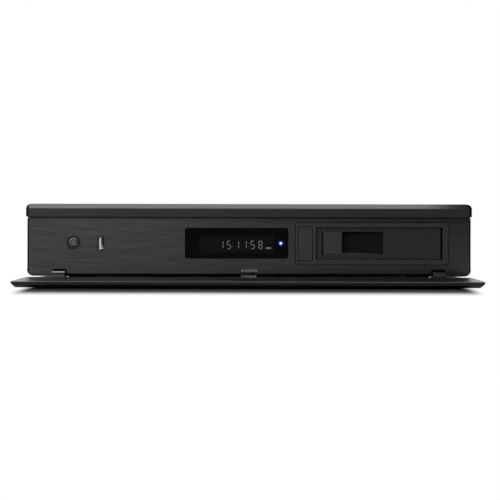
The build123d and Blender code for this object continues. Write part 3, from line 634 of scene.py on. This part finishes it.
def digitBars():
    # Each digit is seven strokes: three level ones (a, g, d) and two upright ones on each side.
    half = display["high"] / 2
    side = display["wide"] / 2
    spots = {
        "a": (0, half, False), "g": (0, 0, False), "d": (0, -half, False),
        "f": (-side, half / 2, True), "b": (side, half / 2, True),
        "e": (-side, -half / 2, True), "c": (side, -half / 2, True),
    }
    bars = []
    for sign, x in zip(display["reading"], display["places"]):
        for segment in segmentsOf[sign]:
            dx, dz, upright = spots[segment]
            length = (half if upright else display["wide"]) - display["notch"]
            bars.append((x + dx, display["middleZ"] + dz, length, display["stroke"], upright))
    for x in display["colons"]:
        for step in (-1, 1):
            bars.append((x, display["middleZ"] + step * display["colonStep"], *display["dot"], False))
    x, dz, length, width = display["dash"]
    bars.append((x, display["middleZ"] + dz, length, width, False))
    return bars


bars = [(x * mm, z * mm, length * mm, width * mm, upright)
        for x, z, length, width, upright in digitBars()]
litSegments = glowing("litSegments", (0.1, 0.104, 0.108), 1.0, (0.16, 0.165, 0.17))
barPiece("display_segments", bars, faceY - display["proud"] * mm, display["thick"] * mm,
         litSegments, "chassis")

windowLow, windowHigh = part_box("display_window")
ledCentre = (windowHigh.x - led["fromRight"] * mm, faceY, (windowLow.z + windowHigh.z) / 2)
lensProfile = [(led["radius"], 0.0), (led["radius"], 0.03),
               (led["radius"] * 0.8, 0.07), (0.3, led["proud"])]
turnedPiece("led_lens", lensProfile, [ledCentre], finishes["blue_led"], "chassis")
print("display done")

# the power button's ring mark, and the polished rim round it
powerLow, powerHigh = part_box("power_button")
powerCentre = ((powerLow.x + powerHigh.x) / 2, powerLow.y, (powerLow.z + powerHigh.z) / 2)
mark = {"outer": 2.4, "inner": 0.7, "proud": 0.12}  # radii and height, mm
markProfile = [(mark["inner"], 0.0), (mark["outer"], 0.0),
               (mark["outer"], mark["proud"]), (mark["inner"], mark["proud"])]


paleMark = mouldedPlastic("paleMark", (0.17, 0.17, 0.175), 0.4)
ringPiece("power_mark", markProfile, [powerCentre], paleMark, "power")
rimMetal = brushedMetal("rimPolished", (0.075, 0.075, 0.076), 0.3, along="z")
# radius and height, from the outer foot over the polished slope to the inner foot
rimProfile = [(4.9, 0.0), (4.55, 0.05), (3.35, 0.4), (3.1, 0.4), (2.85, 0.1), (2.85, 0.0)]
ringPiece("power_rim", rimProfile, [powerCentre], rimMetal, "power", sides=64)

# the front socket: four contacts beside the tongue, its pale end, and two spring tips below
usb = {
    "contacts": 4, "lowest": 0.16, "pitch": 0.226, "contact": (0.5, 1.1), "aside": 0.1,
    "contactStart": 0.6, "contactDeep": 7.0, "endStart": 0.15, "endOverlap": 0.2,
    "springs": ((1.0, 0.9, 1.9, 1.2), (0.8, 3.4, 1.0, 0.8)), "springStart": 0.4, "springDeep": 3.0,
}
tongueLow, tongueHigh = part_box("front_usb_tongue")
tongueWide, tongueTall = tongueHigh.x - tongueLow.x, tongueHigh.z - tongueLow.z
gold = sheetSteel("contactGold", (0.8, 0.6, 0.25), 0.25)
contactLong, contactWide = usb["contact"]
contactBars = [(tongueHigh.x + usb["aside"] * mm,
                tongueLow.z + tongueTall * (usb["lowest"] + usb["pitch"] * spot),
                contactLong * mm, contactWide * mm, False) for spot in range(usb["contacts"])]
barPiece("front_usb_contacts", contactBars, tongueLow.y + usb["contactStart"] * mm,
         usb["contactDeep"] * mm, gold, "chassis")
paleEnd = mouldedPlastic("insulatorEnd", (0.93, 0.93, 0.91), 0.35)
endBar = [((tongueLow.x + tongueHigh.x) / 2, (tongueLow.z + tongueHigh.z) / 2,
           tongueTall, tongueWide, True)]
endFront = faceY + usb["endStart"] * mm
barPiece("front_usb_insulator", endBar, endFront, tongueLow.y - endFront + usb["endOverlap"] * mm,
         paleEnd, "chassis", blunt=0.48)
springBars = [(tongueHigh.x + right * mm, tongueLow.z + up * mm, length * mm, width * mm, False)
              for right, up, length, width in usb["springs"]]
polished = sheetSteel("springSteel", (0.9, 0.9, 0.9), 0.3, metallic=0.2)
barPiece("front_usb_springs", springBars, faceY + usb["springStart"] * mm, usb["springDeep"] * mm,
         polished, "chassis")

# painted shade: a black bar in the gap beside the paddle; painted highlight: a pale bar along the foot
# of the column button
paddleLine = {"aside": 0.45, "long": 22.6, "wide": 1.1, "proud": 0.03, "thick": 0.06}
lip = {"up": 0.75, "long": 9.6, "wide": 0.7, "proud": 0.05, "thick": 0.1}
leverLow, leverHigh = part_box("lever")
ejectLow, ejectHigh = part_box("eject_button")
shadeBlack = mouldedPlastic("shadeBlack", (0.004, 0.004, 0.004), 0.9, dull=0.05)
# painted shade: a black bar in the gap beside the paddle
gapShadeBars = [(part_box("latch_paddle")[0].x - paddleLine["aside"] * mm, (leverLow.z + leverHigh.z) / 2,
             paddleLine["long"] * mm, paddleLine["wide"] * mm, True)]
barPiece("paddle_gap_shade", gapShadeBars, leverLow.y - paddleLine["proud"] * mm, paddleLine["thick"] * mm,
         shadeBlack, "lever", blunt=0.495)
# painted highlight: a pale bar along the foot of the column button
lipHighlight = mouldedPlastic("lipHighlight", (0.06, 0.06, 0.061), 0.35)
lipBars = [((ejectLow.x + ejectHigh.x) / 2, ejectLow.z + lip["up"] * mm,
            lip["long"] * mm, lip["wide"] * mm, False)]
barPiece("eject_lip", lipBars, ejectLow.y - lip["proud"] * mm, lip["thick"] * mm,
         lipHighlight, "eject", blunt=0.49)


# the panel's ends reach a little lower outside the hinge arms, with a rounder corner
skirt = {"inner": 190.6, "bottom": 7.9, "top": 15.0, "centreX": 208.8, "centreZ": 14.0,
         "radius": 6.1, "steps": 9, "proud": 0.03, "thick": 3.0}
skirtTurn = np.linspace(-math.pi / 2, 0, skirt["steps"])
skirtArc = np.stack([skirt["centreX"] + skirt["radius"] * np.cos(skirtTurn),
                     skirt["centreZ"] + skirt["radius"] * np.sin(skirtTurn)], -1)
skirtLoop = np.concatenate([[(skirt["inner"], skirt["bottom"])], skirtArc,
                            [(skirtArc[-1][0], skirt["top"]), (skirt["inner"], skirt["top"])]])
platePiece("panel_ends", [skirtLoop, skirtLoop * (-1, 1)], faceY - skirt["proud"] * mm,
           skirt["thick"] * mm, finishes["panel_metal"], "chassis")

# the lit lower wall of the grip: high at its left and falling to nothing at its right, as a curve
gripLip = {"left": 90.0, "right": 128.6, "bottom": 29.25, "least": 0.15, "rise": 1.2, "under": 0.2,
           "steps": 12, "inside": 0.5, "thick": 0.8}
along = np.linspace(0, 1, gripLip["steps"])
lipX = gripLip["left"] + (gripLip["right"] - gripLip["left"]) * along
lipTop = gripLip["bottom"] + gripLip["least"] + gripLip["rise"] * np.cos(along * math.pi / 2)
lipFoot = gripLip["bottom"] - gripLip["under"]
lipLoop = np.concatenate([np.stack([lipX, lipTop], -1),
                          [(gripLip["right"], lipFoot), (gripLip["left"], lipFoot)]])
gripPaint = mouldedPlastic("gripPaint", (0.026, 0.026, 0.0265), 0.45)
platePiece("grip_lip", [lipLoop], leverLow.y + gripLip["inside"] * mm, gripLip["thick"] * mm,
           gripPaint, "lever")

# the joint lines round the rack's bezel
rackLow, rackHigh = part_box("rack_bezel")
jointLine = {"width": 0.55, "proud": 0.03, "inset": 0.2, "thick": 0.06}
line = jointLine["width"] * mm
inset = jointLine["inset"] * mm
rackX, rackZ = (rackLow.x + rackHigh.x) / 2, (rackLow.z + rackHigh.z) / 2
rackWide, rackTall = rackHigh.x - rackLow.x - 2 * inset, rackHigh.z - rackLow.z - 2 * inset
lineBars = [(rackX, rackZ + side * rackTall / 2, rackWide, line, False) for side in (-1, 1)]
lineBars += [(rackX + side * rackWide / 2, rackZ, rackTall, line, True) for side in (-1, 1)]
lineGrey = mouldedPlastic("jointGrey", (0.006, 0.006, 0.006), 0.8, dull=0.1)
barPiece("rack_joint", lineBars, rackLow.y - jointLine["proud"] * mm, jointLine["thick"] * mm,
         lineGrey, "chassis", blunt=0.497)

# corner fillets that round the display window off in the panel's own metal: a quarter circle
# and the window's corner outside it
fillet = {"reach": 2.3, "steps": 8, "overlap": 0.05, "proud": 0.04, "thick": 0.08}
filletTurn = np.linspace(0, math.pi / 2, fillet["steps"])
filletX = fillet["overlap"] - fillet["reach"] + fillet["reach"] * np.append(np.cos(filletTurn), 1.0)
filletZ = fillet["overlap"] - fillet["reach"] + fillet["reach"] * np.append(np.sin(filletTurn), 1.0)
filletLoops = [np.stack([edgeX / mm + sideX * filletX, edgeZ / mm + sideZ * filletZ], -1)
               for sideX, edgeX in ((-1, windowLow.x), (1, windowHigh.x))
               for sideZ, edgeZ in ((-1, windowLow.z), (1, windowHigh.z))]
platePiece("window_fillets", filletLoops, faceY - fillet["proud"] * mm, fillet["thick"] * mm,
           finishes["panel_metal"], "chassis")
print("front details done")

# the three audio jacks: a coloured collar and a plated sleeve each
jackLow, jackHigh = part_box("audio_sockets")
jackCount = 3
jackStep = (jackHigh.x - jackLow.x) / jackCount
jackZ = (jackLow.z + jackHigh.z) / 2
jackReach = (jackHigh.y - backY) / mm
collarProfile = [(4.2, 0.0), (6.2, 0.0), (5.9, -0.8), (4.2, -0.8)]
sleeveProfile = [(4.15, 0.0), (4.38, 0.0), (4.38, 0.1 - jackReach), (4.15, 0.1 - jackReach)]
jackSpots = [(jackHigh.x - jackStep * (place + 0.5), backY, jackZ) for place in range(jackCount)]
jackColors = (("white", (0.72, 0.72, 0.7)), ("red", (0.5, 0.02, 0.02)), ("yellow", (0.62, 0.46, 0.03)))
for spot, (name, color) in zip(jackSpots, jackColors):
    collarPlastic = mouldedPlastic("collar_" + name, color, 0.35)
    ringPiece("jack_collar_" + name, collarProfile, [spot], collarPlastic, "chassis")
nickel = sheetSteel("jackNickel", (0.6, 0.58, 0.54), 0.25)
ringPiece("jack_sleeves", sleeveProfile, jackSpots, nickel, "chassis")

# the network socket's eight contacts
networkLow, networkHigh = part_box("network_socket")
wires = {"count": 8, "pitch": 1.02, "side": 0.5, "up": 3.4, "start": 2.0, "end": 10.5}
networkX, networkZ = (networkLow.x + networkHigh.x) / 2, (networkLow.z + networkHigh.z) / 2
wireBars = [(networkX + (place - (wires["count"] - 1) / 2) * wires["pitch"] * mm,
             networkZ + wires["up"] * mm, wires["side"] * mm, wires["side"] * mm, False)
            for place in range(wires["count"])]
wireLength = (wires["end"] - wires["start"]) * mm
barPiece("network_contacts", wireBars, networkHigh.y - wires["end"] * mm, wireLength,
         gold, "chassis", blunt=0.45)

# the cross recesses of the three cover screws, drawn as black crosses of painted shade
screwLow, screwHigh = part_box("cover_screws")
recess = {"long": 3.4, "wide": 0.75, "under": 0.02, "thick": 0.05, "radius": 2.6}
screwZ = (screwLow.z + screwHigh.z) / 2
screwXs = (screwLow.x + recess["radius"] * mm, 0.0, screwHigh.x - recess["radius"] * mm)
recessBars = [(x, screwZ, recess["long"] * mm, recess["wide"] * mm, upright)
              for upright in (False, True) for x in screwXs]
barPiece("screw_recesses", recessBars, screwHigh.y - recess["under"] * mm, recess["thick"] * mm,
         shadeBlack, "chassis", blunt=0.45)
print("rear details done")

# the photograph's frame in pixels, and the place of the eye in metres
photo = {"side": 500, "focal": 888.0, "distance": 0.86, "eyeX": 0.0135, "eyeZ": 0.0709,
         "horizon": 211.2, "middle": 263.0, "roll": 0.11}
sensor = 36.0  # millimetres
cameraData = bpy.data.cameras.new("camera")
cameraData.sensor_width = sensor
cameraData.lens = photo["focal"] / photo["side"] * sensor
cameraData.shift_x = (photo["side"] / 2 - photo["middle"]) / photo["side"]
cameraData.shift_y = (photo["horizon"] - photo["side"] / 2) / photo["side"]
cameraData.clip_end = 50
camera = bpy.data.objects.new("camera", cameraData)
camera.location = (photo["eyeX"], faceY - photo["distance"], photo["eyeZ"])
camera.rotation_euler = (math.pi / 2, 0, 0)
camera.rotation_euler.rotate_axis("Z", math.radians(photo["roll"]))
bpy.context.scene.collection.objects.link(camera)
bpy.context.scene.camera = camera


def softBox(name, place, target, wide, high, radiance):
    # An area lamp whose power gives the wanted brightness: radiance times pi times its area.
    data = bpy.data.lights.new(name, "AREA")
    data.shape = "RECTANGLE"
    data.size = wide
    data.size_y = high
    data.energy = radiance * math.pi * wide * high
    lamp = bpy.data.objects.new(name, data)
    lamp.location = place
    away = np.asarray(place, float) - np.asarray(target, float)
    flat = math.hypot(away[0], away[1])
    lamp.rotation_euler = (math.atan2(flat, away[2]), 0, math.atan2(away[0], -away[1]))
    bpy.context.scene.collection.objects.link(lamp)


# name: place, target, width, height, brightness
lamps = {
    "overhead": ((-0.17, 0.0, 0.55), (-0.17, 0.0, 0.0), 0.9, 0.6, 2.1),
    "back_sky": ((0.0, 1.7, 1.5), (0.0, 0.0, 0.05), 2.6, 1.4, 2.6),
    "left_front": ((-0.75, -1.5, 0.52), (-0.2, -0.1, 0.05), 1.4, 0.6, 3.6),
    "front_fill": ((0.3, -1.6, 1.3), (0.0, -0.1, 0.05), 1.6, 0.8, 1.8),
}
for name, values in lamps.items():
    softBox(name, *values)

world = bpy.data.worlds.new("studio")
world.use_nodes = True
bpy.context.scene.world = world
tree = world.node_tree
background = tree.nodes["Background"]
direction = tree.nodes.new("ShaderNodeTexCoord")
split = tree.nodes.new("ShaderNodeSeparateXYZ")
tree.links.new(direction.outputs["Generated"], split.inputs[0])
towardsBack = Wire(tree, split.outputs[1])
ray = tree.nodes.new("ShaderNodeLightPath")
seen = Wire(tree, ray.outputs["Is Camera Ray"])
# The room is dim in front and beside, and pale behind the object.
room = {"front": 0.06, "back": 0.95, "turn": 0.8, "soft": 0.25}
ahead = (towardsBack - room["turn"]).below(0, room["soft"])
studio = ahead * (room["front"] - room["back"]) + room["back"]
bright = seen + (1 - seen) * studio
tree.links.new(bright.socket, background.inputs["Strength"])
background.inputs["Color"].default_value = (1, 1, 1, 1)

# The floor is plain paper. Away from the object it turns to the photograph's pure white for the camera.
floorSize = {"left": -3.0, "right": 3.0, "front": -0.45, "back": 3.0}
floorFade = {"start": 0.0145, "end": 0.0625, "sideShare": 3.5, "tuck": 0.023,
             "backShare": 1.4, "turn": 0.02}
floorFinish = Finish("studioFloor", Roughness=0.9)
paper = floorFinish.noise((60.0, 60.0, 60.0), 2.0)
floorFinish.put("Base Color", floorFinish.mixed(paper, (0.78, 0.78, 0.78), (0.82, 0.82, 0.82)))
floorFinish.put("Specular IOR Level", 0.0)
# the fade follows the distance outside the object's outline, with its own share on each side
x, y, _ = floorFinish.axes()
inFront = y.below(faceY, floorFade["turn"])
reachX = (x.size() - cadBox[1][0] + inFront * floorFade["tuck"]) * floorFade["sideShare"]
behind = 1 - y.below(0.0, floorFade["turn"])
reachY = (y.size() - cadBox[1][1]) * (1 + behind * floorFade["backShare"])
outside = (reachX.larger(0) * reachX.larger(0) + reachY.larger(0) * reachY.larger(0)) ** 0.5
away = ((outside - floorFade["start"]) / (floorFade["end"] - floorFade["start"])).held()
path = floorFinish.tree.nodes.new("ShaderNodeLightPath")
byCamera = Wire(floorFinish.tree, path.outputs["Is Camera Ray"])
looked = byCamera.larger(Wire(floorFinish.tree, path.outputs["Is Glossy Ray"]))
white = floorFinish.tree.nodes.new("ShaderNodeEmission")
blend = floorFinish.tree.nodes.new("ShaderNodeMixShader")
fade = away * away * (3 - 2 * away) * looked
floorFinish.tree.links.new(fade.socket, blend.inputs[0])
floorFinish.tree.links.new(floorFinish.shader.outputs[0], blend.inputs[1])
floorFinish.tree.links.new(white.outputs[0], blend.inputs[2])
floorFinish.tree.links.new(blend.outputs[0], floorFinish.output.inputs[0])
floorMesh = bpy.data.meshes.new("floor")
corners = [(floorSize[a], floorSize[b], 0) for a, b in
           (("left", "front"), ("right", "front"), ("right", "back"), ("left", "back"))]
floorMesh.from_pydata(corners, [], [(0, 1, 2, 3)])
floorMesh.materials.append(floorFinish.material)
floor = bpy.data.objects.new("floor", floorMesh)
bpy.context.scene.collection.objects.link(floor)

# The lamps pass the floor by, so that the room alone lights it and the soft shadow in front stays.
spared = bpy.data.collections.new("spared")
spared.objects.link(floor)
spared.collection_objects[0].light_linking.link_state = "EXCLUDE"
for name in lamps:
    bpy.data.objects[name].light_linking.receiver_collection = spared

bpy.context.scene.view_settings.view_transform = "Standard"
print("scene done")
